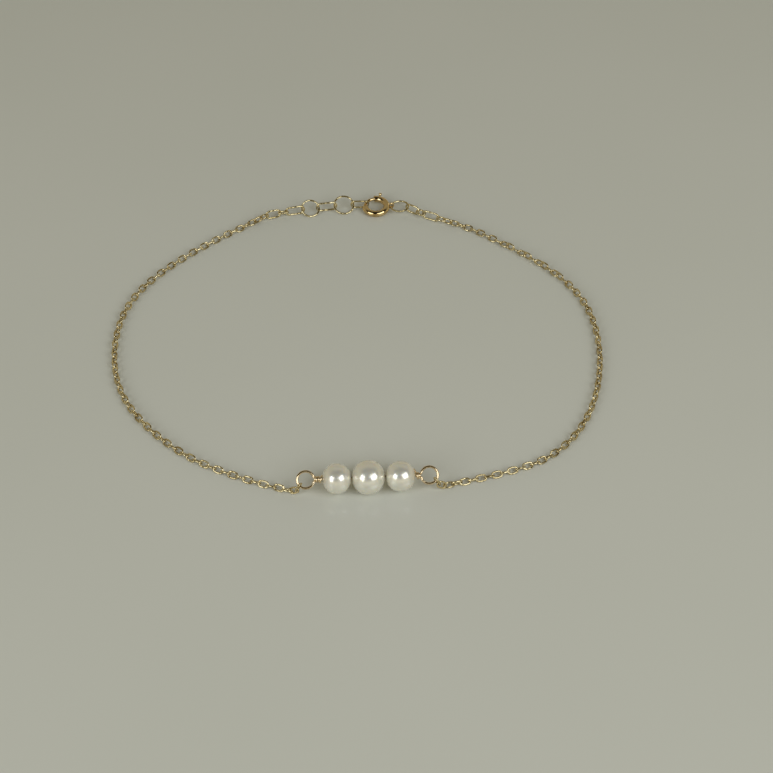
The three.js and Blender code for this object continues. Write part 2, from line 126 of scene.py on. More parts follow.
# Spring ring clasp. Its angles are degrees round its ring.
CLASP_OUTER = 4.13 * MM
CLASP_TUBE = 0.95 * MM
CLASP_TILT = math.radians(8)
TUBE_START = 187
TUBE_END = 460
TUBE_LIP = ((0.0, 0.82), (0.7, 0.93), (1.8, 0.99), (3.4, 1.0))  # angle from the mouth and share of the width
BOLT_WIRE = 0.45 * MM
BOLT_TAIL = 42
BOLT_SEAT = 8  # how far the shut bolt goes into the tube's far mouth
HANG_ANGLE = 160  # where the extender hangs on the bolt
KNOB_ANGLE = 76
KNOB_STROKE = 42
KNOB_STAND = 0.58 * MM
KNOB_DIAMETER = 0.5 * MM
KNOB_END = 0.985 * math.pi  # the knob's last ring of faces, just short of its top
STEM_DIAMETER = 0.3 * MM
STEM_FOOT = 0.02 * MM  # above the bolt's middle line
STEM_TOP = 0.1 * MM  # above the tube
EYE_ANGLE = 5
EYE_OUTER = 1.1 * MM
EYE_WIRE = 0.26 * MM
EYE_END = 134  # round the eye from its far side to each end, which is soldered into the tube's wall

# How round the ends of a wire are: 0 for a flat cut, 1 for a half ball
ROUNDED_TIP = 0.3
CUT_TIP = 0.12
BOLT_TIP = 0.9
FLAT_TIP = 0.02
TIP_ROWS = (28, 55, 78)  # degrees round such an end

# Faces
SHARP_EDGE = math.radians(42)  # faces that meet at a wider angle show an edge
LINK_STEPS = 12
LINK_SIDES = 6
OVAL_STEPS = 36
OVAL_SIDES = 12
RING_STEPS = 64
WIRE_SIDES = 16
WIRE_STEP = 0.07 * MM
PEARL_STEPS = 56
LOOP_STEPS = 24
WRAP_STEPS = 12
WRAP_LEAD = 4  # of those steps, before the wraps start to move along the core
CORE_STEPS = 8
TAIL_STEPS = 8
TUBE_STEPS = 40
TUBE_SIDES = 24
SLOT_STEPS = 16
SLOT_SIDES = 4
PAST_SLOT = (3.0, 6.0, 9.0)  # degrees from the slot to the next rows of faces
BOLT_STEPS = 72
KNOB_STEPS = 11
EYE_STEPS = 28
ROUTE_STEP = 0.12 * MM
END_POINTS = 8  # points of a chain's route over which the direction of its end is read

# Numbers of sockets that share a name with others of their node
MIX_FIRST, MIX_SECOND, MIXED = 6, 7, 2
RANDOM_LEAST, RANDOM_MOST, RANDOM = 2, 3, 1

# The chain's route on each side, from the pearls to the clasp: x as a share of half the loop's width, and y
# of half its depth
LEFT_ROUTE = (
    (-0.3578, -0.9854),
    (-0.4948, -0.9185),
    (-0.6246, -0.8364),
    (-0.7383, -0.7301),
    (-0.8368, -0.6066),
    (-0.917, -0.4685),
    (-0.9699, -0.3159),
    (-0.9954, -0.1546),
    (-0.9997, 0.0086),
    (-0.9805, 0.1709),
    (-0.931, 0.3248),
    (-0.852, 0.4639),
    (-0.7556, 0.5894),
    (-0.6492, 0.7046),
    (-0.5353, 0.8109),
)
RIGHT_ROUTE = (
    (0.4757, -0.9543),
    (0.6149, -0.901),
    (0.7447, -0.8255),
    (0.8462, -0.7096),
    (0.9173, -0.5689),
    (0.9638, -0.4166),
    (0.9903, -0.2586),
    (1.0006, -0.098),
    (0.9942, 0.0626),
    (0.9663, 0.2202),
    (0.9088, 0.3679),
    (0.8231, 0.4987),
    (0.721, 0.6142),
    (0.6094, 0.7199),
    (0.4927, 0.8182),
)

# The extender's pieces in their order away from the clasp: node, size, heading in plan and roll, in degrees.
# Where no roll is given, the piece tips until its lower side meets the surface.
LEFT_ROW = (
    ("oval_link_4", MIDDLE_OVAL, 183, 100),
    ("extender_ring_2", RING_2, 187, None),
    ("oval_link_3", LONG_OVAL, 190, None),
    ("extender_ring_1", RING_1, 193, None),
    ("oval_link_2", OVAL, 194, None),
    ("small_link_1", SMALL_LINK, 196, -15),
    ("oval_link_1", SHORT_OVAL, 197, None),
)
RIGHT_ROW = (
    ("jump_ring", JUMP_RING, -14, 0),
    ("oval_link_5", SHORT_OVAL, -33, None),
    ("small_link_2", SMALL_LINK, -39, 15),
    ("oval_link_6", MIDDLE_OVAL, -25, None),
)


# Helpers for materials and node trees
def add_node(tree, kind, inputs=None, **settings):
    """Adds a node with its settings; each input gets a value, an output or another node's first output."""
    node = tree.nodes.new(kind)
    for name, value in settings.items():
        setattr(node, name, value)
    for key, value in (inputs or {}).items():
        if isinstance(value, bpy.types.Node):
            value = value.outputs[0]
        if isinstance(value, bpy.types.NodeSocket):
            tree.links.new(value, node.inputs[key])
        else:
            node.inputs[key].default_value = value
    return node


def linear(hex_colour):
    """An sRGB hex colour as linear red, green, blue and alpha."""
    parts = [int(hex_colour[i : i + 2], 16) / 255 for i in (1, 3, 5)]
    return [c / 12.92 if c <= 0.04045 else ((c + 0.055) / 1.055) ** 2.4 for c in parts] + [1.0]


def per_length(size):
    """The texture scale at which one feature is about this long, in metres."""
    return 1 / size


def new_material(name):
    material = bpy.data.materials.new(name)
    material.use_nodes = True
    material.node_tree.nodes.clear()
    return material


# Materials
def drawn_gold(name, pale, deep, gloss, dimple):
    """Gold filled wire, drawn, then tumbled bright in steel shot.

    Metal that goes from a pale to a deep tone in patches about as long as a link, a mirror where gloss is 1
    and satin where it is 0. The shot leaves shallow dimples, as deep as dimple, which break its highlights
    into short dashes.
    """
    material = new_material(name)
    tree = material.node_tree
    place = add_node(tree, "ShaderNodeTexCoord").outputs["Object"]
    patches = add_node(
        tree,
        "ShaderNodeTexNoise",
        {"Vector": place, "Scale": per_length(1.6 * MM), "Detail": 3.0},
    )
    tone = add_node(
        tree,
        "ShaderNodeMix",
        {"Factor": patches.outputs["Fac"], MIX_FIRST: linear(deep), MIX_SECOND: linear(pale)},
        data_type="RGBA",
    )
    dimples = add_node(
        tree,
        "ShaderNodeTexNoise",
        {"Vector": place, "Scale": per_length(0.45 * MM), "Detail": 0.0},
    )
    roughness = add_node(
        tree,
        "ShaderNodeMapRange",
        {
            "Value": patches.outputs["Fac"],
            "From Min": 0.3,
            "From Max": 0.7,
            "To Min": 0.22 - 0.15 * gloss,
            "To Max": 0.32 - 0.18 * gloss,
        },
    )
    bump = add_node(
        tree,
        "ShaderNodeBump",
        {"Height": dimples.outputs["Fac"], "Strength": 0.8, "Distance": dimple},
    )
    metal = add_node(
        tree,
        "ShaderNodeBsdfPrincipled",
        {
            "Base Color": tone.outputs[MIXED],
            "Metallic": 1.0,
            "Roughness": roughness.outputs["Result"],
            "Normal": bump.outputs["Normal"],
        },
    )
    add_node(tree, "ShaderNodeOutputMaterial", {"Surface": metal.outputs["BSDF"]})
    return material


def pearl_nacre(name, warm, cool):
    """Freshwater pearl nacre, grown in thin layers, drilled and polished.

    The stacked layers mirror their surroundings like satin metal, over a soft cream body. Growth ripples
    ruffle the highlights a little.
    """
    material = new_material(name)
    tree = material.node_tree
    place = add_node(tree, "ShaderNodeTexCoord").outputs["Object"]
    clouds = add_node(
        tree,
        "ShaderNodeTexNoise",
        {"Vector": place, "Scale": per_length(2.2 * MM), "Detail": 2.0},
    )
    tone = add_node(
        tree,
        "ShaderNodeMix",
        {"Factor": clouds.outputs["Fac"], MIX_FIRST: linear(cool), MIX_SECOND: linear(warm)},
        data_type="RGBA",
    )
    ripples = add_node(
        tree,
        "ShaderNodeTexNoise",
        {"Vector": place, "Scale": per_length(0.9 * MM), "Detail": 3.0, "Distortion": 0.6},
    )
    bump = add_node(
        tree,
        "ShaderNodeBump",
        {"Height": ripples.outputs["Fac"], "Strength": 0.3, "Distance": 0.03 * MM},
    )
    nacre = add_node(
        tree,
        "ShaderNodeBsdfPrincipled",
        {
            "Base Color": tone.outputs[MIXED],
            "Metallic": 0.5,
            "Roughness": 0.26,
            "IOR": 1.56,
            "Subsurface Weight": 0.6,
            "Subsurface Radius": (1.0, 0.85, 0.6),
            "Subsurface Scale": 1.6 * MM,
            "Coat Weight": 0.8,
            "Coat Roughness": 0.1,
            "Coat IOR": 1.6,
            "Normal": bump.outputs["Normal"],
            "Coat Normal": bump.outputs["Normal"],
        },
    )
    add_node(tree, "ShaderNodeOutputMaterial", {"Surface": nacre.outputs["BSDF"]})
    return material


def glazed_ceramic(name, cool, warm):
    """Glazed ceramic, fired, under the bracelet: a pale warm white with a soft wet gloss."""
    material = new_material(name)
    tree = material.node_tree
    place = add_node(tree, "ShaderNodeTexCoord").outputs["Object"]
    glaze = add_node(
        tree,
        "ShaderNodeTexNoise",
        {"Vector": place, "Scale": per_length(60 * MM), "Detail": 2.0},
    )
    tone = add_node(
        tree,
        "ShaderNodeMix",
        {"Factor": glaze.outputs["Fac"], MIX_FIRST: linear(cool), MIX_SECOND: linear(warm)},
        data_type="RGBA",
    )
    surface = add_node(
        tree,
        "ShaderNodeBsdfPrincipled",
        {"Base Color": tone.outputs[MIXED], "Roughness": 0.22, "IOR": 1.5},
    )
    add_node(tree, "ShaderNodeOutputMaterial", {"Surface": surface.outputs["BSDF"]})
    return material


CHAIN_GOLD = drawn_gold("chain gold", "#FFF2C8", "#8A6E1E", gloss=0.95, dimple=0.1 * MM)
EXTENDER_GOLD = drawn_gold("extender gold", "#FFF2C8", "#866E20", gloss=1.0, dimple=0.13 * MM)
WIRE_GOLD = drawn_gold("bar wire gold", "#FFF0D2", "#AE8C4E", gloss=1.0, dimple=0.04 * MM)
CLASP_GOLD = drawn_gold("clasp gold", "#F7E2B4", "#A88442", gloss=1.0, dimple=0.04 * MM)
NACRE = pearl_nacre("pearl nacre", "#EDE8D8", "#E6E4D9")
CERAMIC = glazed_ceramic("glazed ceramic", "#D3D4C8", "#DADACF")


# Shapes in mesh code
def finish_piece(name, shape, material, node, body="bracelet", matrix=None):
    """Turns a shape into a piece that stands for a CAD node, in place, and rides on its body."""
    if matrix:
        shape.transform(matrix)
    bmesh.ops.recalc_face_normals(shape, faces=shape.faces)
    mesh = bpy.data.meshes.new(name)
    shape.to_mesh(mesh)
    shape.free()
    mesh.shade_smooth()
    mesh.set_sharp_from_angle(angle=SHARP_EDGE)
    return place_piece(name, mesh, material, node, body)


def place_piece(name, mesh, material, node, body="bracelet"):
    """Makes a finished mesh the piece that stands for a CAD node, with its finish and its body."""
    mesh.materials.clear()
    mesh.materials.append(material)
    piece = bpy.data.objects.new(name, mesh)
    bpy.context.scene.collection.objects.link(piece)
    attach(piece, body)
    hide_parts(node)
    return piece


def smooth_route(points, step):
    """A centripetal Catmull-Rom curve through the points, as a list of points about one step apart."""
    route = []
    for i in range(len(points) - 1):
        b, c = points[i], points[i + 1]
        a = points[i - 1] if i > 0 else 2 * b - c
        d = points[i + 2] if i + 2 < len(points) else 2 * c - b
        ab, bc, cd = (b - a).length ** 0.5, (c - b).length ** 0.5, (d - c).length ** 0.5
        leave = ((b - a) / ab - (c - a) / (ab + bc) + (c - b) / bc) * bc
        arrive = ((c - b) / bc - (d - b) / (bc + cd) + (d - c) / cd) * bc
        steps = max(2, math.ceil((c - b).length / step))
        for k in range(steps):
            t = k / steps
            cubic = (2 * b - 2 * c + leave + arrive) * t**3
            square = (-3 * b + 3 * c - 2 * leave - arrive) * t**2
            route.append(cubic + square + leave * t + b)
    route.append(points[-1].copy())
    return route


def rounded_ends(line, radii, tip):
    """The line and radii of a wire, with each end closed in by a few narrower rings."""
    front = (line[0] - line[1]).normalized()
    back = (line[-1] - line[-2]).normalized()
    for end, outwards in ((0, front), (-1, back)):
        full = radii[end]
        line[end] = line[end] - outwards * full * tip
        angles = [math.radians(a) for a in TIP_ROWS]
        ring_places = [line[end] + outwards * full * tip * math.sin(a) for a in angles]
        ring_radii = [full * math.cos(a) for a in angles]
        if end == 0:
            line, radii = ring_places[::-1] + line, ring_radii[::-1] + radii
        else:
            line, radii = line + ring_places, radii + ring_radii
    return line, radii


def add_wire(shape, middle_line, radius, tip=ROUNDED_TIP):
    """A round wire along a line, with one radius or one for each point; tip is how round its ends are."""
    radii = radius if isinstance(radius, list) else [radius] * len(middle_line)
    line, radii = rounded_ends(list(middle_line), radii, tip)
    directions = []
    for i in range(len(line)):
        before, after = line[max(i - 1, 0)], line[min(i + 1, len(line) - 1)]
        directions.append((after - before).normalized())
    side = directions[0].orthogonal().normalized()
    rings = []
    for i, (middle, direction) in enumerate(zip(line, directions)):
        if i > 0:
            side = directions[i - 1].rotation_difference(direction) @ side
            side = (side - direction * side.dot(direction)).normalized()
        turns = [Quaternion(direction, 2 * math.pi * k / WIRE_SIDES) for k in range(WIRE_SIDES)]
        rings.append([shape.verts.new(middle + (turn @ side) * radii[i]) for turn in turns])
    join_rings(shape, rings)
    shape.faces.new(rings[0][::-1])
    shape.faces.new(rings[-1])


def join_rings(shape, rings, closed=False):
    """Faces between neighbouring rings of points."""
    for i in range(len(rings) if closed else len(rings) - 1):
        ring, following = rings[i], rings[(i + 1) % len(rings)]
        for k in range(len(ring)):
            after = (k + 1) % len(ring)
            shape.faces.new((ring[k], ring[after], following[after], following[k]))


def polar(radius, angle, z=0.0):
    return Vector((radius * math.cos(angle), radius * math.sin(angle), z))


def arc(radius, start, end, steps):
    """Points on an arc in the plane z = 0, by degrees."""
    return [polar(radius, math.radians(start + (end - start) * i / steps)) for i in range(steps + 1)]


def pearl_shape(diameter, length, seed):
    """A drilled pearl, its hole and its length along x, its skin a little uneven as it grew."""
    shape = bmesh.new()
    radius, bore = diameter / 2, BAR_WIRE / 2 + DRILL_PLAY
    reach = (length + PEARL_GAP - PEARL_TOUCH) / 2
    mouth = math.asin(bore * HOLE_FLARE / radius)
    turns = [2 * math.pi * k / PEARL_STEPS for k in range(PEARL_STEPS)]
    rings = []
    for i in range(PEARL_STEPS // 2 + 1):
        angle = mouth + (math.pi - 2 * mouth) * i / (PEARL_STEPS // 2)
        ring = []
        for t in turns:
            spoke = Vector((-math.cos(angle), math.sin(angle) * math.cos(t), math.sin(angle) * math.sin(t)))
            unevenness = 0.5 + 0.5 * noise.noise(spoke * DENT_SPACING + Vector((seed, 0, 0)))
            along = math.copysign(abs(spoke.x) ** PEARL_BLUNTNESS, spoke.x)
            smooth = Vector((along * reach, spoke.y * radius, spoke.z * radius))
            ring.append(shape.verts.new(smooth * (1 - PEARL_DENT * unevenness)))
        rings.append(ring)
    for place in (FLARE_END, -FLARE_END):
        hole = [Vector((place * length / 2, bore * math.cos(t), bore * math.sin(t))) for t in turns]
        rings.append([shape.verts.new(point) for point in hole])
    join_rings(shape, rings, closed=True)
    return shape


def ring_shape(size):
    """A jump ring, cut and closed again, so that a hairline seam is left."""
    shape = bmesh.new()
    length, _, wire = size
    radius = (length - wire) / 2
    gap = math.degrees(SEAM / 2 / radius)
    add_wire(shape, arc(radius, 90 + gap, 450 - gap, RING_STEPS), wire / 2, tip=CUT_TIP)
    return shape


# The bar and its wrapped eye loops, along x from the centre pearl's middle
LEFT_PEARL_PLACE = -((CENTRE_PEARL_LENGTH + LEFT_PEARL_LENGTH) / 2 + PEARL_GAP)
RIGHT_PEARL_PLACE = (CENTRE_PEARL_LENGTH + RIGHT_PEARL_LENGTH) / 2 + PEARL_GAP
LOOP_RADIUS = (LOOP_OUTER - BAR_WIRE) / 2
VIEW_UP = Vector((0, 0.65, 0.76))  # upwards as the bracelet is seen from the front, above
LEFT_WRAP = LEFT_PEARL_PLACE - LEFT_PEARL_LENGTH / 2 - PEARL_GAP  # where the wraps start, beside the pearl
RIGHT_WRAP = RIGHT_PEARL_PLACE + RIGHT_PEARL_LENGTH / 2 + PEARL_GAP
LEFT_NECK = LEFT_WRAP - WRAP_TURNS_LEFT * BAR_WIRE  # where the wraps end and the loop starts
RIGHT_NECK = RIGHT_WRAP + WRAP_TURNS_RIGHT * BAR_WIRE
LEFT_LOOP = LEFT_NECK - LOOP_RADIUS
RIGHT_LOOP = RIGHT_NECK + LOOP_RADIUS
BAR_PLACE = Matrix.Translation((BAR_X, LOOP_Y - LOOP_DEPTH / 2, CENTRE_PEARL / 2))
BAR_FRAME = BAR_PLACE @ Matrix.Rotation(BAR_HEADING, 4, "Z")


def loop_path(side, neck):
    """Points on the wire from the bar's core round one eye loop and back to the neck."""
    tilt = Matrix.Rotation(LOOP_TILT, 3, "X")
    loop_place = Vector((neck + side * LOOP_RADIUS, 0, 0))
    path = [Vector((neck - side * NECK_OVERLAP, 0, 0))]
    leave = 180 if side > 0 else 0
    for i in range(LOOP_STEPS + 1):
        degrees = leave + NECK_ANGLE + (360 - 2 * NECK_ANGLE) * i / LOOP_STEPS
        path.append(tilt @ polar(LOOP_RADIUS, math.radians(degrees)) + loop_place)
    return path


def wrapped_loop(side, wrap, neck, turns):
    """The wire round one eye loop and then wrapped on the core up to the pearl: its line and radii."""
    path = loop_path(side, neck)
    phase = math.atan2(path[-1].z, path[-1].y)
    steps = WRAP_STEPS * turns
    first, final = neck - side * FIRST_WRAP, wrap + side * LAST_WRAP
    for i in range(2, steps + 1):
        turned = phase - side * 2 * math.pi * i / WRAP_STEPS
        share = min(1.0, max(0.0, (i - WRAP_LEAD) / (steps - WRAP_LEAD - WRAP_STEPS / 2)))
        spoke = Vector((0, math.cos(turned), math.sin(turned)))
        on_last = min(1.0, max(0.0, (i - steps + WRAP_STEPS) / (WRAP_STEPS / 3)))
        lean = -side * WRAP_LEAN * on_last * spoke.dot(VIEW_UP)
        away = (BAR_WIRE + WRAP_WIRE) / 2 * (1 + LAST_TURN_PROUD * on_last)
        path.append(Vector((first + (final - first) * share + lean, 0, 0)) + spoke * away)
    line = smooth_route(path, WIRE_STEP)
    thinned = [side * (neck - point.x) > THINNED_FROM for point in line]
    return line, [WRAP_WIRE / 2 if thin else BAR_WIRE / 2 for thin in thinned]


def wrap_tail(start):
    """The cut end of the wire, left standing at the pearl and drawn out thin."""
    rise, bow = Vector((-TAIL_LEAN, 0, WRAP_TAIL)), Vector((-TAIL_LEAN, 0, 0))
    shares = [i / TAIL_STEPS for i in range(TAIL_STEPS + 1)]
    line = [start + rise * share + bow * share**2 for share in shares]
    return line, [WRAP_WIRE * (TAIL_WIDTH - TAIL_TAPER * share**TAIL_CURVE) for share in shares]


def bar_shape():
    """One piece of wire: the straight core, a wrapped eye loop at each end and the cut end at the right."""
    shape = bmesh.new()
    places = [LEFT_NECK + (RIGHT_NECK - LEFT_NECK) * i / CORE_STEPS for i in range(CORE_STEPS + 1)]
    add_wire(shape, [Vector((x, 0, 0)) for x in places], BAR_WIRE / 2)
    add_wire(shape, *wrapped_loop(-1, LEFT_WRAP, LEFT_NECK, WRAP_TURNS_LEFT))
    right_line, right_radii = wrapped_loop(1, RIGHT_WRAP, RIGHT_NECK, WRAP_TURNS_RIGHT)
    add_wire(shape, right_line, right_radii)
    add_wire(shape, *wrap_tail(right_line[-1]))
    return shape


def loop_hook(place, angle):
    """Where the chain hooks into an eye loop: the middle, direction and diameter of the loop's wire there."""
    tilt = Matrix.Rotation(LOOP_TILT, 3, "X")
    middle = tilt @ polar(LOOP_RADIUS, angle) + Vector((place, 0, 0))
    direction = tilt @ Vector((-math.sin(angle), math.cos(angle), 0))
    return {"middle": BAR_FRAME @ middle, "direction": BAR_FRAME.to_3x3() @ direction, "wire": BAR_WIRE}


# The spring ring clasp, in its own frame: its ring in the plane z = 0 round the origin
CLASP_RADIUS = (CLASP_OUTER - CLASP_TUBE) / 2
BORE = BOLT_WIRE + 2 * BOLT_PLAY
CLASP_HEIGHT = CLASP_TUBE / 2 + CLASP_RADIUS * math.sin(CLASP_TILT)
CLASP_PLACE = Matrix.Translation((CLASP_X, LOOP_Y + LOOP_DEPTH / 2, CLASP_HEIGHT))
CLASP_FRAME = CLASP_PLACE @ Matrix.Rotation(CLASP_TILT, 4, "X")


def hook_distance(wire_a, wire_b):
    """Distance between the middles of two wires that hook into each other."""
    return (wire_a + wire_b) / 2 + HOOK_PLAY


JUMP_WIRE_PLACE = CLASP_OUTER / 2 + HOOK_PLAY + EXTENDER_WIRE / 2
EYE_REACH = JUMP_WIRE_PLACE + hook_distance(EXTENDER_WIRE, EYE_WIRE)


SLOT_HALF = STEM_DIAMETER / 2 + BOLT_PLAY
SLOT_MARGIN = math.degrees(SLOT_HALF / CLASP_RADIUS)
SLOT_START = KNOB_ANGLE - KNOB_STROKE - SLOT_MARGIN + 360
SLOT_END = KNOB_ANGLE + SLOT_MARGIN + 360


def tube_stations():
    """Angles along the tube from mouth to mouth, each with its share of the tube's full width."""
    lip_end = TUBE_START + TUBE_LIP[-1][0]
    to_slot, slot_length = SLOT_START - lip_end, SLOT_END - SLOT_START
    stations = [(TUBE_START + angle, share) for angle, share in TUBE_LIP]
    stations += [(lip_end + to_slot * i / TUBE_STEPS, 1.0) for i in range(1, TUBE_STEPS)]
    stations += [(SLOT_START + slot_length * i / SLOT_STEPS, 1.0) for i in range(SLOT_STEPS + 1)]
    stations += [(SLOT_END + angle, 1.0) for angle in PAST_SLOT]
    stations += [(TUBE_END - angle, share) for angle, share in reversed(TUBE_LIP)]
    return stations


def tube_section(shape, radius, degrees, share=1.0):
    """Points round the tube at one place along it. The first lie across the slot."""
    edge = math.asin(SLOT_HALF / radius)
    angles = [-edge + 2 * edge * k / SLOT_SIDES for k in range(SLOT_SIDES)]
    angles += [edge + (2 * math.pi - 2 * edge) * k / TUBE_SIDES for k in range(TUBE_SIDES)]
    turn, reach = math.radians(degrees), radius * share
    points = [polar(CLASP_RADIUS + reach * math.cos(a), turn, reach * math.sin(a)) for a in angles]
    return [shape.verts.new(point) for point in points]


def clasp_tube_shape():
    """The hollow C-shaped tube with rolled mouths, its slot for the knob's stem, and the soldered eye."""
    shape = bmesh.new()
    stations = tube_stations()
    outside = [tube_section(shape, CLASP_TUBE / 2, angle, share) for angle, share in stations]
    inside = [tube_section(shape, BORE / 2, angle) for angle, _ in stations]
    around = SLOT_SIDES + TUBE_SIDES
    cut_start = len(TUBE_LIP) + TUBE_STEPS - 1
    cut_end = cut_start + SLOT_STEPS
    for i in range(len(stations) - 1):
        cut = cut_start <= i < cut_end
        for rings in (outside, inside):
            for k in range(SLOT_SIDES if cut else 0, around):
                after = (k + 1) % around
                shape.faces.new((rings[i][k], rings[i][after], rings[i + 1][after], rings[i + 1][k]))
        if cut:
            for k in (0, SLOT_SIDES):
                shape.faces.new((outside[i][k], inside[i][k], inside[i + 1][k], outside[i + 1][k]))
    for i, walled in ((cut_start, SLOT_SIDES), (cut_end, SLOT_SIDES), (0, around), (-1, around)):
        for k in range(walled):
            after = (k + 1) % around
            shape.faces.new((outside[i][k], outside[i][after], inside[i][after], inside[i][k]))
    add_eye(shape)
    return shape


def add_eye(shape):
    """The small open ring for the jump ring, upright, its ends in the tube's wall and clear of the bore."""
    eye_radius = (EYE_OUTER - EYE_WIRE) / 2
    turn = Matrix.Rotation(math.radians(EYE_ANGLE), 4, "Z")
    middle = Vector((EYE_REACH - eye_radius, 0, 0))
    bend = arc(eye_radius, -EYE_END, EYE_END, EYE_STEPS)
    upright = [turn @ (middle + Vector((p.x, 0, p.y))) for p in bend]
    add_wire(shape, upright, EYE_WIRE / 2)


def clasp_bolt_shape():
    """The sliding bolt, an arc of wire, with its stem and thumb knob."""
    shape = bmesh.new()
    bolt = arc(CLASP_RADIUS, BOLT_TAIL, TUBE_START + BOLT_SEAT, BOLT_STEPS)
    add_wire(shape, bolt, BOLT_WIRE / 2, tip=BOLT_TIP)
    knob_place = CLASP_OUTER / 2 + KNOB_STAND
    outward = polar(1, math.radians(KNOB_ANGLE))
    stem, knob = STEM_DIAMETER / 2, KNOB_DIAMETER / 2
    knob_start = math.asin(stem / knob)
    rows = [(CLASP_RADIUS + STEM_FOOT, stem), (CLASP_OUTER / 2 + STEM_TOP, stem)]
    for i in range(KNOB_STEPS + 1):
        angle = knob_start + (KNOB_END - knob_start) * i / KNOB_STEPS
        rows.append((knob_place - knob * math.cos(angle), knob * math.sin(angle)))
    add_wire(shape, [outward * place for place, _ in rows], [radius for _, radius in rows], tip=FLAT_TIP)
    return shape


def clasp_point(degrees, radius):
    """A point in the plane of the clasp's ring, as it lies on the surface."""
    return CLASP_FRAME @ polar(radius, math.radians(degrees))


# Frames of the links, from the points where they hook
def frame_across(start, end, wire_direction):
    """Lays a link's length from one point to another, its plane square to the given wire direction."""
    along = (end - start).normalized()
    normal = (wire_direction - along * wire_direction.dot(along)).normalized()
    across = normal.cross(along)
    turned = Matrix((along, across, normal)).transposed().to_4x4()
    turned.translation = (start + end) / 2
    return turned


def resting_roll(height, width, wire):
    """The roll at which a link's lower side, hooked at this height, meets the surface."""
    return math.degrees(math.asin(min(1.0, (height - wire / 2 - REST_PLAY) / ((width - wire) / 2))))


def hook_row(row, start, start_wire):
    """Hooks a row of links one into the next, and gives back their frames and the last link's far end."""
    hook, hook_gap = start, hook_distance(start_wire, row[0][1][2])
    frames, end = {}, None
    for index, (node, size, heading, given_roll) in enumerate(row):
        length, width, wire = size
        last = index == len(row) - 1
        next_gap = hook_distance(wire, CHAIN_WIRE if last else row[index + 1][1][2])
        advance = length - wire - (hook_gap + next_gap) / 2
        following = hook + polar(advance, math.radians(heading))
        following.z = CHAIN_HOOK_HEIGHT if last else HOOK_HEIGHT
        height = (hook.z + following.z) / 2
        roll = resting_roll(height, width, wire) if given_roll is None else given_roll
        if math.cos(math.radians(heading)) < 0:
            roll = -roll
        along = (following - hook).normalized()
        normal = Quaternion(along, math.radians(roll)) @ UP
        placed = frame_across(hook, following, normal)
        # The two gaps differ where the wires do, and the link lies in the middle between them.
        placed.translation += along * (next_gap - hook_gap) / 4
        frames[node] = (placed, size)
        end = {"middle": following + along * next_gap / 2, "direction": placed.col[1].xyz, "wire": wire}
        hook, hook_gap = following, next_gap
    return frames, end


# Links made by geometry nodes
LINK_INPUTS = {
    "Length": "Float",
    "Width": "Float",
    "Wire": "Float",
    "Steps": "Int",
    "Sides": "Int",
    "Finish": "Material",
}
CHAIN_INPUTS = {
    "Route": "Geometry",
    "Count": "Int",
    "Pitch": "Float",
    "Link Length": "Float",
    "Width": "Float",
    "Wire": "Float",
    "Steps": "Int",
    "Sides": "Int",
    "Rest Roll": "Float",
    "Turn": "Float",
    "Front Roll": "Float",
    "Back Roll": "Float",
    "Settle": "Float",
    "Twist": "Float",
    "Twist From": "Float",
    "Twist Links": "Float",
    "Wobble": "Float",
    "Seed": "Int",
    "Finish": "Material",
}


def new_shape_tree(name, inputs):
    """An empty geometry node tree with its named inputs."""
    tree = bpy.data.node_groups.new(name, "GeometryNodeTree")
    tree.interface.new_socket("Geometry", in_out="OUTPUT", socket_type="NodeSocketGeometry")
    for label, kind in inputs.items():
        tree.interface.new_socket(label, in_out="INPUT", socket_type="NodeSocket" + kind)
    return tree, add_node(tree, "NodeGroupInput").outputs


def link_tree():
    """One closed wire link: a circle pulled apart along x by the straight part of its sides."""
    tree, given = new_shape_tree("wire link", LINK_INPUTS)
    inner = add_node(tree, "ShaderNodeMath", {0: given["Width"], 1: given["Wire"]}, operation="SUBTRACT")
    radius = add_node(tree, "ShaderNodeMath", {0: inner, 1: 0.5}, operation="MULTIPLY")
    longer = add_node(tree, "ShaderNodeMath", {0: given["Length"], 1: given["Width"]}, operation="SUBTRACT")
    straight = add_node(tree, "ShaderNodeMath", {0: longer, 1: 0.5}, operation="MULTIPLY")
    circle = add_node(
        tree,
        "GeometryNodeCurvePrimitiveCircle",
        {"Resolution": given["Steps"], "Radius": radius},
    )
    point = add_node(tree, "GeometryNodeInputPosition")
    place = add_node(tree, "ShaderNodeSeparateXYZ", {0: point})

    # The middle of a side has x = 0 and stays there, which gives the sides a slight belly
    near = add_node(tree, "ShaderNodeMath", {0: radius, 1: LINK_BELLY}, operation="MULTIPLY")
    beyond = add_node(tree, "ShaderNodeMath", {0: place.outputs["X"], 1: near}, operation="DIVIDE")
    beyond = add_node(tree, "ShaderNodeMath", {0: beyond, 1: 1.0}, operation="MINIMUM")
    beyond = add_node(tree, "ShaderNodeMath", {0: beyond, 1: -1.0}, operation="MAXIMUM")
    pull = add_node(tree, "ShaderNodeMath", {0: beyond, 1: straight}, operation="MULTIPLY")
    shift = add_node(tree, "ShaderNodeCombineXYZ", {"X": pull})
    pulled = add_node(tree, "GeometryNodeSetPosition", {"Geometry": circle, "Offset": shift})

    wire_radius = add_node(tree, "ShaderNodeMath", {0: given["Wire"], 1: 0.5}, operation="MULTIPLY")
    section = add_node(
        tree,
        "GeometryNodeCurvePrimitiveCircle",
        {"Resolution": given["Sides"], "Radius": wire_radius},
    )
    swept = add_node(tree, "GeometryNodeCurveToMesh", {"Curve": pulled, "Profile Curve": section})
    smooth = add_node(tree, "GeometryNodeSetShadeSmooth", {"Geometry": swept})
    finish = add_node(tree, "GeometryNodeSetMaterial", {"Geometry": smooth, "Material": given["Finish"]})
    add_node(tree, "NodeGroupOutput", {"Geometry": finish})
    return tree


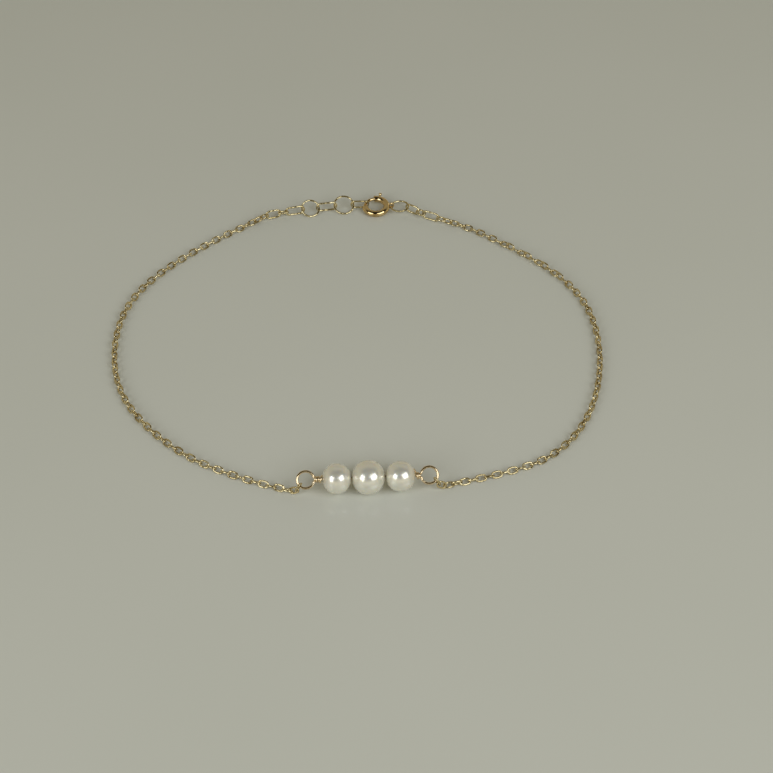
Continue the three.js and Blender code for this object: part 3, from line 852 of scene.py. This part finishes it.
def roll_of_links(tree, given, index):
    """A quarter turn a link, eased at both ends to how the last links hook in, with a twisted stretch."""
    left = add_node(tree, "ShaderNodeMath", {0: given["Count"], 1: 1.0}, operation="SUBTRACT")
    left = add_node(tree, "ShaderNodeMath", {0: left, 1: index}, operation="SUBTRACT")
    twisted = add_node(tree, "ShaderNodeMath", {0: index, 1: given["Twist From"]}, operation="SUBTRACT")
    twisted = add_node(tree, "ShaderNodeMath", {0: twisted, 1: 0.0}, operation="MAXIMUM")
    twisted = add_node(tree, "ShaderNodeMath", {0: twisted, 1: given["Twist Links"]}, operation="MINIMUM")
    least = add_node(tree, "ShaderNodeMath", {0: given["Wobble"], 1: -1.0}, operation="MULTIPLY")
    wobble = add_node(
        tree,
        "FunctionNodeRandomValue",
        {RANDOM_LEAST: least, RANDOM_MOST: given["Wobble"], "Seed": given["Seed"]},
        data_type="FLOAT",
    )
    roll = add_node(
        tree,
        "ShaderNodeMath",
        {0: index, 1: given["Turn"], 2: given["Rest Roll"]},
        operation="MULTIPLY_ADD",
    )
    for from_end, full in ((index, given["Front Roll"]), (left, given["Back Roll"])):
        eased = add_node(
            tree,
            "ShaderNodeMapRange",
            {"Value": from_end, "From Min": 0.0, "From Max": given["Settle"], "To Min": full, "To Max": 0.0},
            interpolation_type="SMOOTHSTEP",
        )
        roll = add_node(tree, "ShaderNodeMath", {0: roll, 1: eased}, operation="ADD")
    roll = add_node(
        tree,
        "ShaderNodeMath",
        {0: twisted, 1: given["Twist"], 2: roll},
        operation="MULTIPLY_ADD",
    )
    return add_node(tree, "ShaderNodeMath", {0: roll, 1: wobble.outputs[RANDOM]}, operation="ADD")


def rested_place(tree, given, middle, roll):
    """Each link rests on its lower side, so its height follows from its roll."""
    inner = add_node(tree, "ShaderNodeMath", {0: given["Width"], 1: given["Wire"]}, operation="SUBTRACT")
    half_width = add_node(tree, "ShaderNodeMath", {0: inner, 1: 0.5}, operation="MULTIPLY")
    wire_radius = add_node(tree, "ShaderNodeMath", {0: given["Wire"], 1: 0.5}, operation="MULTIPLY")
    lean = add_node(tree, "ShaderNodeMath", {0: roll}, operation="SINE")
    lean = add_node(tree, "ShaderNodeMath", {0: lean}, operation="ABSOLUTE")
    resting = add_node(
        tree,
        "ShaderNodeMath",
        {0: lean, 1: half_width, 2: wire_radius},
        operation="MULTIPLY_ADD",
    )
    apart = add_node(tree, "ShaderNodeSeparateXYZ", {0: middle})
    height = add_node(tree, "ShaderNodeMath", {0: apart.outputs["Z"], 1: resting}, operation="MAXIMUM")
    return add_node(tree, "ShaderNodeCombineXYZ", {0: apart.outputs["X"], 1: apart.outputs["Y"], 2: height})


def chain_tree(link):
    """Cable chain along a route: each link reaches from one pitch to the next, a quarter turn on."""
    tree, given = new_shape_tree("cable chain", CHAIN_INPUTS)
    route = add_node(tree, "GeometryNodeMeshToCurve", {0: given["Route"]})
    index = add_node(tree, "GeometryNodeInputIndex")
    following = add_node(tree, "ShaderNodeMath", {0: index, 1: 1.0}, operation="ADD")
    ends = []
    for number in (index, following):
        length = add_node(tree, "ShaderNodeMath", {0: number, 1: given["Pitch"]}, operation="MULTIPLY")
        sampled = add_node(
            tree,
            "GeometryNodeSampleCurve",
            {"Curves": route, "Length": length},
            mode="LENGTH",
        )
        ends.append(sampled.outputs["Position"])
    start, end = ends
    along = add_node(tree, "ShaderNodeVectorMath", {0: end, 1: start}, operation="SUBTRACT")
    total = add_node(tree, "ShaderNodeVectorMath", {0: end, 1: start}, operation="ADD")
    middle = add_node(tree, "ShaderNodeVectorMath", {0: total, "Scale": 0.5}, operation="SCALE")
    roll = roll_of_links(tree, given, index)
    rested = rested_place(tree, given, middle, roll)
    points = add_node(tree, "GeometryNodePoints", {"Count": given["Count"], "Position": rested})

    headed = add_node(
        tree,
        "FunctionNodeAxesToRotation",
        {"Primary Axis": along, "Secondary Axis": (0, 0, 1)},
        primary_axis="X",
        secondary_axis="Z",
    )
    rolled = add_node(tree, "FunctionNodeAxisAngleToRotation", {"Axis": (1, 0, 0), "Angle": roll})
    rotation = add_node(
        tree,
        "FunctionNodeRotateRotation",
        {"Rotation": headed, "Rotate By": rolled},
        rotation_space="LOCAL",
    )
    link_inputs = {name: given[name] for name in ("Width", "Wire", "Steps", "Sides", "Finish")}
    link_inputs["Length"] = given["Link Length"]
    one_link = add_node(tree, "GeometryNodeGroup", link_inputs, node_tree=link)
    copies = add_node(
        tree,
        "GeometryNodeInstanceOnPoints",
        {"Points": points, "Instance": one_link, "Rotation": rotation},
    )
    real = add_node(tree, "GeometryNodeRealizeInstances", {"Geometry": copies})
    finish = add_node(tree, "GeometryNodeSetMaterial", {"Geometry": real, "Material": given["Finish"]})
    add_node(tree, "NodeGroupOutput", {"Geometry": finish})
    return tree


def grown_mesh(name, base, tree, values):
    """The plain mesh that a geometry node tree makes of a base mesh with these input values."""
    carrier = bpy.data.objects.new(name + "_carrier", base)
    bpy.context.scene.collection.objects.link(carrier)
    modifier = carrier.modifiers.new("shape", "NODES")
    modifier.node_group = tree
    for item in tree.interface.items_tree:
        if item.item_type == "SOCKET" and item.in_out == "INPUT" and item.name in values:
            modifier[item.identifier] = values[item.name]
    depsgraph = bpy.context.evaluated_depsgraph_get()
    mesh = bpy.data.meshes.new_from_object(carrier.evaluated_get(depsgraph))
    mesh.name = name
    carrier.modifiers.remove(modifier)
    bpy.data.objects.remove(carrier)
    return mesh


def wire_link(name, node, size, placed, tree):
    """An oval or small link of the extender, in place."""
    length, width, wire = size
    values = {
        "Length": length,
        "Width": width,
        "Wire": wire,
        "Steps": OVAL_STEPS,
        "Sides": OVAL_SIDES,
        "Finish": EXTENDER_GOLD,
    }
    mesh = grown_mesh(name, bpy.data.meshes.new(name + "_base"), tree, values)
    mesh.transform(placed)
    return place_piece(name, mesh, EXTENDER_GOLD, node)


def link_roll(normal, along):
    """A link's roll about its length, from lying flat, for its plane's normal."""
    along = along.normalized()
    level = (UP - along * UP.dot(along)).normalized()
    across = level.cross(along)
    return math.atan2(-normal.dot(across), normal.dot(level))


def half_turned(angle):
    """The same roll within a quarter turn either way, as a link looks alike after half a turn."""
    return (angle + math.pi / 2) % math.pi - math.pi / 2


def chain_route(front, shares, back):
    """The chain's middle line: down from its eye loop, round its side on the surface, up to the extender."""
    surface = [Vector((x * LOOP_WIDTH / 2, y * LOOP_DEPTH / 2, CHAIN_REST)) for x, y in shares]
    landing = surface[0] - front["middle"]
    landing.z = 0
    landing = front["middle"] + landing.normalized() * LANDING
    landing.z = CHAIN_REST
    route = smooth_route([front["middle"], landing, *surface, back["middle"]], ROUTE_STEP)
    for point in route:
        point.z = max(point.z, CHAIN_REST)
    for end, hooked in ((0, front), (-1, back)):
        inward = route[END_POINTS] if end == 0 else route[-1 - END_POINTS]
        outward = (route[end] - inward).normalized()
        beyond = route[end] + outward * (hook_distance(hooked["wire"], CHAIN_WIRE) - CHAIN_WIRE / 2)
        route.insert(0 if end == 0 else len(route), beyond)
    return route


def chain_piece(name, node, front, shares, back, tree, seed, twist_from=0, twist_links=0):
    """One side's chain of real links, hooked in at both ends."""
    route = chain_route(front, shares, back)
    base = bpy.data.meshes.new(name + "_route")
    base.from_pydata(route, [(i, i + 1) for i in range(len(route) - 1)], [])
    length = sum((b - a).length for a, b in zip(route, route[1:]))
    count = round(length / CHAIN_PITCH)
    pitch = length / count
    first = half_turned(link_roll(front["direction"], route[END_POINTS + 1] - route[0]) - REST_ROLL)
    settled = REST_ROLL + LINK_TURN * (count - 1) + CHAIN_TWIST * twist_links
    last = half_turned(link_roll(back["direction"], route[-1] - route[-2 - END_POINTS]) - settled)
    values = {
        "Count": count,
        "Pitch": pitch,
        "Link Length": pitch + 2 * CHAIN_WIRE + LINK_SLACK,
        "Width": CHAIN_WIDTH,
        "Wire": CHAIN_WIRE,
        "Steps": LINK_STEPS,
        "Sides": LINK_SIDES,
        "Rest Roll": REST_ROLL,
        "Turn": LINK_TURN,
        "Front Roll": first,
        "Back Roll": last,
        "Settle": SETTLING_LINKS,
        "Twist": CHAIN_TWIST,
        "Twist From": float(twist_from),
        "Twist Links": float(twist_links),
        "Wobble": LINK_WOBBLE,
        "Seed": seed,
        "Finish": CHAIN_GOLD,
    }
    return place_piece(name, grown_mesh(name, base, tree, values), CHAIN_GOLD, node)


def make_pearls():
    """The three pearls on the bar. The last number gives each its own dents."""
    for name, node, place, diameter, length, seed in (
        ("left_pearl", "pearl_left", LEFT_PEARL_PLACE, SIDE_PEARL, LEFT_PEARL_LENGTH, 3.1),
        ("centre_pearl", "pearl_centre", 0.0, CENTRE_PEARL, CENTRE_PEARL_LENGTH, 7.4),
        ("right_pearl", "pearl_right", RIGHT_PEARL_PLACE, SIDE_PEARL, RIGHT_PEARL_LENGTH, 11.8),
    ):
        placed = BAR_FRAME @ Matrix.Translation((place, 0, 0))
        finish_piece(name, pearl_shape(diameter, length, seed), NACRE, node, matrix=placed)


def make_extender(frames, tree):
    """The rings and links of one row, each in its frame."""
    for node, (placed, size) in frames.items():
        name = "wire_" + node
        if node.startswith(("extender", "jump")):
            finish_piece(name, ring_shape(size), EXTENDER_GOLD, node, matrix=placed)
        else:
            wire_link(name, node, size, placed, tree)


def make_bracelet():
    """The whole bracelet. The two rows start at the clasp and the chains join them to the bar."""
    link = link_tree()
    chain = chain_tree(link)
    make_pearls()
    finish_piece("wrapped_bar", bar_shape(), WIRE_GOLD, "bar_wire", matrix=BAR_FRAME)
    finish_piece("clasp_tube", clasp_tube_shape(), CLASP_GOLD, "clasp_body", matrix=CLASP_FRAME)
    bolt = clasp_bolt_shape()
    finish_piece("clasp_bolt", bolt, CLASP_GOLD, "clasp_trigger", body="trigger", matrix=CLASP_FRAME)
    bolt_hook = clasp_point(HANG_ANGLE, CLASP_RADIUS - hook_distance(BOLT_WIRE, EXTENDER_WIRE) / 2)
    eye_hook = clasp_point(EYE_ANGLE, (JUMP_WIRE_PLACE + EYE_REACH) / 2)
    left_frames, left_back = hook_row(LEFT_ROW, bolt_hook, BOLT_WIRE)
    right_frames, right_back = hook_row(RIGHT_ROW, eye_hook, EYE_WIRE)
    make_extender(left_frames, link)
    make_extender(right_frames, link)
    left_front = loop_hook(LEFT_LOOP, LEFT_HOOK_ANGLE)
    right_front = loop_hook(RIGHT_LOOP, RIGHT_HOOK_ANGLE)
    chain_piece("left_cable_chain", "chain_left", left_front, LEFT_ROUTE, left_back, chain, LEFT_SEED)
    chain_piece(
        "right_cable_chain",
        "chain_right",
        right_front,
        RIGHT_ROUTE,
        right_back,
        chain,
        RIGHT_SEED,
        RIGHT_TWIST_FROM,
        RIGHT_TWIST_LINKS,
    )


# The studio
CAMERA_PLACE = (4.02 * MM, -234.1 * MM, 189.85 * MM)
CAMERA_TILT = math.radians(49.7)
FLOOR_REACH = 1.5  # metres from its middle to each side
WINDOW_DISTANCE = 0.7
WINDOW_TINT = "#F2F6FA"
ROOM_TONE = "#A09A86"
CEILING_TONE = "#2C2820"
CEILING_DIRECTION = Vector((0.15, -0.4, 0.85)).normalized()
CEILING_STRETCH = (0.5, 1, 1)  # makes the dark ceiling longer from side to side
CEILING_EDGE = (0.54, 0.85)  # cosine of the angle from its middle where it starts and where it is darkest
HORIZON_EDGE = (0.05, 0.45)  # height of a direction where the room's glow starts to fade and where it ends
FRONT_EDGE = (-0.2, -0.9)  # y of a direction where the glow starts to grow and where it is strongest
FRONT_GLOW = (0.5, 1.1)


def make_camera():
    data = bpy.data.cameras.new("camera")
    data.lens = 102.5
    data.sensor_width = 36
    data.clip_start = 0.01
    data.clip_end = 10
    camera = bpy.data.objects.new("camera", data)
    camera.location = CAMERA_PLACE
    camera.rotation_euler = (CAMERA_TILT, 0, 0)
    bpy.context.scene.collection.objects.link(camera)
    bpy.context.scene.camera = camera


def make_floor():
    shape = bmesh.new()
    bmesh.ops.create_grid(shape, x_segments=1, y_segments=1, size=FLOOR_REACH)
    mesh = bpy.data.meshes.new("floor")
    shape.to_mesh(mesh)
    shape.free()
    mesh.materials.append(CERAMIC)
    floor = bpy.data.objects.new("floor", mesh)
    bpy.context.scene.collection.objects.link(floor)


def make_window(name, direction, width, height, power):
    """A soft rectangular light that faces the bracelet."""
    data = bpy.data.lights.new(name, "AREA")
    data.shape = "RECTANGLE"
    data.size = width
    data.size_y = height
    data.energy = power
    data.color = linear(WINDOW_TINT)[:3]
    light = bpy.data.objects.new(name, data)
    heading = Vector(direction).normalized()
    light.location = heading * WINDOW_DISTANCE
    light.rotation_mode = "QUATERNION"
    light.rotation_quaternion = heading.to_track_quat("Z", "Y")
    bpy.context.scene.collection.objects.link(light)


def make_room():
    """A pale room, brighter low down and most in front, with a dark ceiling that the pearls mirror."""
    world = bpy.data.worlds.new("studio")
    world.use_nodes = True
    tree = world.node_tree
    tree.nodes.clear()
    direction = add_node(tree, "ShaderNodeTexCoord").outputs["Generated"]
    narrowed = add_node(
        tree,
        "ShaderNodeVectorMath",
        {0: direction, 1: CEILING_STRETCH},
        operation="MULTIPLY",
    )
    narrowed = add_node(tree, "ShaderNodeVectorMath", {0: narrowed}, operation="NORMALIZE")
    upwards = add_node(
        tree,
        "ShaderNodeVectorMath",
        {0: narrowed, 1: CEILING_DIRECTION},
        operation="DOT_PRODUCT",
    )
    apart = add_node(tree, "ShaderNodeSeparateXYZ", {0: direction})
    ramps = []
    for value, (start, end), (first, last) in (
        (upwards.outputs["Value"], CEILING_EDGE, (0.0, 1.0)),
        (apart.outputs["Z"], HORIZON_EDGE, (1.0, 0.0)),
        (apart.outputs["Y"], FRONT_EDGE, FRONT_GLOW),
    ):
        ramp = add_node(
            tree,
            "ShaderNodeMapRange",
            {"Value": value, "From Min": start, "From Max": end, "To Min": first, "To Max": last},
            interpolation_type="SMOOTHSTEP",
        )
        ramps.append(ramp)
    ceiling, low, front = ramps
    tone = add_node(
        tree,
        "ShaderNodeMix",
        {"Factor": ceiling, MIX_FIRST: linear(ROOM_TONE), MIX_SECOND: linear(CEILING_TONE)},
        data_type="RGBA",
    )
    strength = add_node(tree, "ShaderNodeMath", {0: low, 1: front, 2: 1.0}, operation="MULTIPLY_ADD")
    backdrop = add_node(tree, "ShaderNodeBackground", {"Color": tone.outputs[MIXED], "Strength": strength})
    add_node(tree, "ShaderNodeOutputWorld", {"Surface": backdrop})
    bpy.context.scene.world = world
    bpy.context.scene.view_settings.view_transform = "Standard"


make_camera()
make_bracelet()
make_floor()
# Two windows in front of the bracelet
make_window("left_window", (-0.606, -0.622, 0.496), width=0.34, height=0.4, power=1.65)
make_window("right_window", (0.555, -0.585, 0.591), width=0.5, height=0.42, power=2.5)
make_room()
